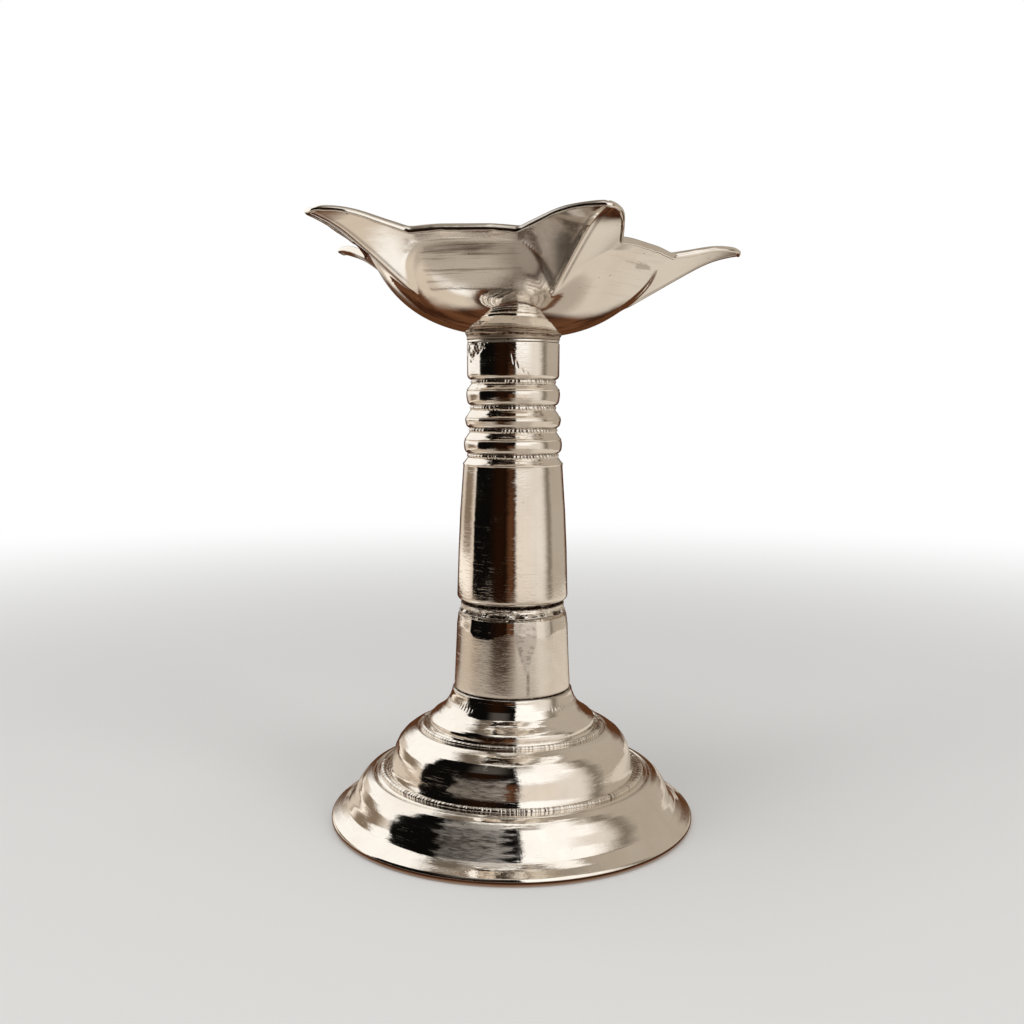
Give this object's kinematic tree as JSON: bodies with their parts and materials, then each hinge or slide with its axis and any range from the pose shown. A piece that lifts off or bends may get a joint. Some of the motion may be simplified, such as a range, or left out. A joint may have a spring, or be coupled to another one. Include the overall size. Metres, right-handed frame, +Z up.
{
  "type": "oil lamp",
  "caption": "Small silver oil lamp: stepped hollow base, two-piece turned stem and a leaning dish whose rim is drawn out into wick spouts.",
  "frame": {"origin": "where the stem's axis meets the plane that the foot rests on", "axes": "+Z up along the stem's axis, -Y to the front of the picture, +X to its right"},
  "size_m": [0.0545, 0.0571, 0.0776],
  "materials": {
    "base_shell": "polished silver, faint turning lines, lightly scratched",
    "lower_stem": "satin silver, clouded by handling and light tarnish",
    "tie_rod": "plain turned silver",
    "base_washer": "plain silver",
    "base_nut": "plain silver",
    "joint_ring": "silver, hand-chased ring of small beads",
    "upper_stem": "polished silver with hand-chased grooves",
    "stem_lower_bush": "plain turned silver",
    "stem_upper_bush": "plain turned silver",
    "dish_washer": "thin silver washer",
    "dish_seat": "silver, filed and pitted at its joint",
    "dish_screw": "plain turned silver",
    "dish": "hammered sheet silver, polished outside, with fine brush lines"
  },
  "bodies": {
    "base": {"base_shell": "base_shell", "lower_stem": "lower_stem", "tie_rod": "tie_rod", "base_washer": "base_washer", "base_nut": "base_nut"},
    "ring": {"joint_ring": "joint_ring"},
    "stem": {"upper_stem": "upper_stem", "stem_lower_bush": "stem_lower_bush", "stem_upper_bush": "stem_upper_bush"},
    "dish_ring": {"dish_washer": "dish_washer"},
    "dish": {"dish_seat": "dish_seat", "dish_screw": "dish_screw", "dish": "dish"}
  },
  "joints": [
    {"name": "stem_rise", "type": "slide", "parent": "base", "child": "ring", "axis": [0, 0, 1], "range_m": [0, 0.005]},
    {"name": "stem_turn", "type": "hinge", "parent": "ring", "child": "stem", "pos_m": [0, 0, 0.0284], "axis": [0, 0, 1], "range_deg": [0, 1440]},
    {"name": "dish_rise", "type": "slide", "parent": "stem", "child": "dish_ring", "axis": [0, 0, 1], "range_m": [0, 0.005]},
    {"name": "dish_turn", "type": "hinge", "parent": "dish_ring", "child": "dish", "pos_m": [0, 0, 0.0631], "axis": [0, 0, 1], "range_deg": [0, 1440]}
  ],
  "couplings": [
    {"joint": "stem_turn", "follows": "stem_rise", "rad_per_m": 5026.5},
    {"joint": "dish_turn", "follows": "dish_rise", "rad_per_m": 5026.5}
  ]
}
